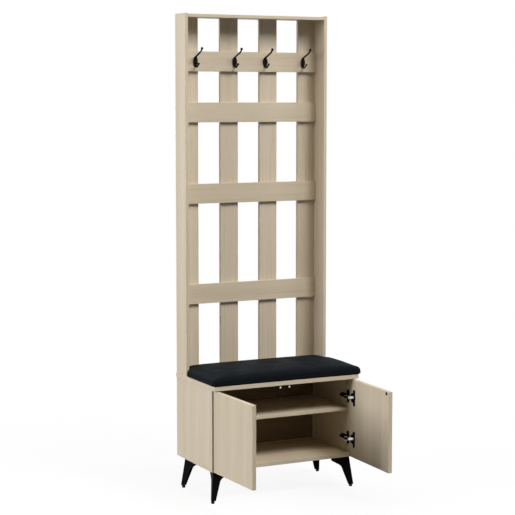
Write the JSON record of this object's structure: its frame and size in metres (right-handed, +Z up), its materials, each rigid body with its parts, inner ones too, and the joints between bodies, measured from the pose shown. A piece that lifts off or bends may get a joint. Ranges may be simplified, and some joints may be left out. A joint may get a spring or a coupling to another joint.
{
  "type": "entryway storage bench",
  "caption": "Hall tree with an open lattice coat frame and double hooks above a padded shoe-cabinet bench with push-to-open doors on splayed steel legs.",
  "frame": {"origin": "on the floor under the middle of the seat board, midway between its front and back edges", "axes": "+Z up, -Y out of the front where the doors are, +X to the right as seen from the front"},
  "size_m": [0.6185, 0.6217, 1.8],
  "materials": {
    "oak_laminate": "satin melamine wood-grain board",
    "back_board": "thin wood-grain back panel",
    "plywood": "raw plywood under the cushion",
    "beech": "raw hardwood dowel",
    "black_leatherette": "matte black leatherette over foam",
    "black_steel": "satin black powder coat",
    "hook_black": "satin black coated hook",
    "nickel_steel": "nickel-plated steel",
    "zinc_steel": "zinc-plated screw or fitting",
    "black_plastic": "moulded black plastic",
    "white_plastic": "pale plastic or felt pad"
  },
  "bodies": {
    "hall_tree": {"back_left_leg": "black_steel", "back_panel": "back_board", "back_right_leg": "black_steel", "bottom_board": "oak_laminate", "cabinet_screws": "black_steel", "cam_bolts": "zinc_steel", "cam_locks": "zinc_steel", "coat_hook_1": "hook_black", "coat_hook_2": "hook_black", "coat_hook_3": "hook_black", "coat_hook_4": "hook_black", "cushion_base": "plywood", "cushion_pad": "black_leatherette", "cushion_screws": "zinc_steel", "foot_glides": "black_plastic", "frame_dowels": "beech", "frame_top": "oak_laminate", "front_left_leg": "black_steel", "front_right_leg": "black_steel", "hinge_arms": "black_steel", "hinge_plates": "black_steel", "hook_rail": "oak_laminate", "hook_screws": "hook_black", "latch_housing": "black_plastic", "left_frame_side": "oak_laminate", "left_latch_spring": "zinc_steel", "left_side_panel": "oak_laminate", "leg_screws": "zinc_steel", "lower_rail": "oak_laminate", "middle_rail": "oak_laminate", "rail_screws": "zinc_steel", "right_frame_side": "oak_laminate", "right_latch_spring": "zinc_steel", "right_side_panel": "oak_laminate", "seat_board": "oak_laminate", "shelf": "oak_laminate", "shelf_pins": "zinc_steel", "slat_1": "oak_laminate", "slat_2": "oak_laminate", "slat_3": "oak_laminate", "slat_4": "oak_laminate", "upper_rail": "oak_laminate"},
    "left_door": {"left_door": "oak_laminate", "left_hinge_cups": "black_steel", "left_strike_plate": "black_steel", "left_door_bumper": "white_plastic", "left_door_screws": "black_steel"},
    "left_outer_links": {"left_outer_links": "nickel_steel"},
    "left_inner_links": {"left_inner_links": "nickel_steel"},
    "left_plunger": {"left_plunger": "black_plastic", "left_plunger_tip": "nickel_steel"},
    "right_door": {"right_door": "oak_laminate", "right_hinge_cups": "black_steel", "right_strike_plate": "black_steel", "right_door_bumper": "white_plastic", "right_door_screws": "black_steel"},
    "right_outer_links": {"right_outer_links": "nickel_steel"},
    "right_inner_links": {"right_inner_links": "nickel_steel"},
    "right_plunger": {"right_plunger": "black_plastic", "right_plunger_tip": "nickel_steel"}
  },
  "joints": [
    {"name": "left_outer_link_pivot", "type": "hinge", "parent": "hall_tree", "child": "left_outer_links", "pos_m": [-0.262, -0.1413, 0.2705], "axis": [0, 0, 1], "range_deg": [-26.41, 3.61]},
    {"name": "left_door_hinge", "type": "hinge", "parent": "left_outer_links", "child": "left_door", "pos_m": [-0.28111, -0.16173, 0.2705], "axis": [0, 0, -1], "range_deg": [-114.4, 15.6]},
    {"name": "left_inner_link_pivot", "type": "hinge", "parent": "hall_tree", "child": "left_inner_links", "pos_m": [-0.2692, -0.1559, 0.2705], "axis": [0, 0, 1], "range_deg": [-19.37, 2.65]},
    {"name": "left_plunger_slide", "type": "slide", "parent": "hall_tree", "child": "left_plunger", "axis": [0, 1, 0], "range_m": [0, 0.0035], "stiffness_N_per_m": 300, "springref_m": -0.002, "deforming": ["left_latch_spring"]},
    {"name": "right_outer_link_pivot", "type": "hinge", "parent": "hall_tree", "child": "right_outer_links", "pos_m": [0.262, -0.1413, 0.2705], "axis": [0, 0, -1], "range_deg": [-26.41, 3.61]},
    {"name": "right_door_hinge", "type": "hinge", "parent": "right_outer_links", "child": "right_door", "pos_m": [0.28111, -0.16173, 0.2705], "axis": [0, 0, 1], "range_deg": [-114.4, 15.6]},
    {"name": "right_inner_link_pivot", "type": "hinge", "parent": "hall_tree", "child": "right_inner_links", "pos_m": [0.2692, -0.1559, 0.2705], "axis": [0, 0, -1], "range_deg": [-19.37, 2.65]},
    {"name": "right_plunger_slide", "type": "slide", "parent": "hall_tree", "child": "right_plunger", "axis": [0, 1, 0], "range_m": [0, 0.0035], "stiffness_N_per_m": 300, "springref_m": -0.002, "deforming": ["right_latch_spring"]}
  ],
  "couplings": [
    {"joint": "left_outer_link_pivot", "follows": "left_door_hinge", "ratio": 0.23077},
    {"joint": "left_inner_link_pivot", "follows": "left_door_hinge", "ratio": 0.16923},
    {"joint": "right_outer_link_pivot", "follows": "right_door_hinge", "ratio": 0.23077},
    {"joint": "right_inner_link_pivot", "follows": "right_door_hinge", "ratio": 0.16923}
  ]
}
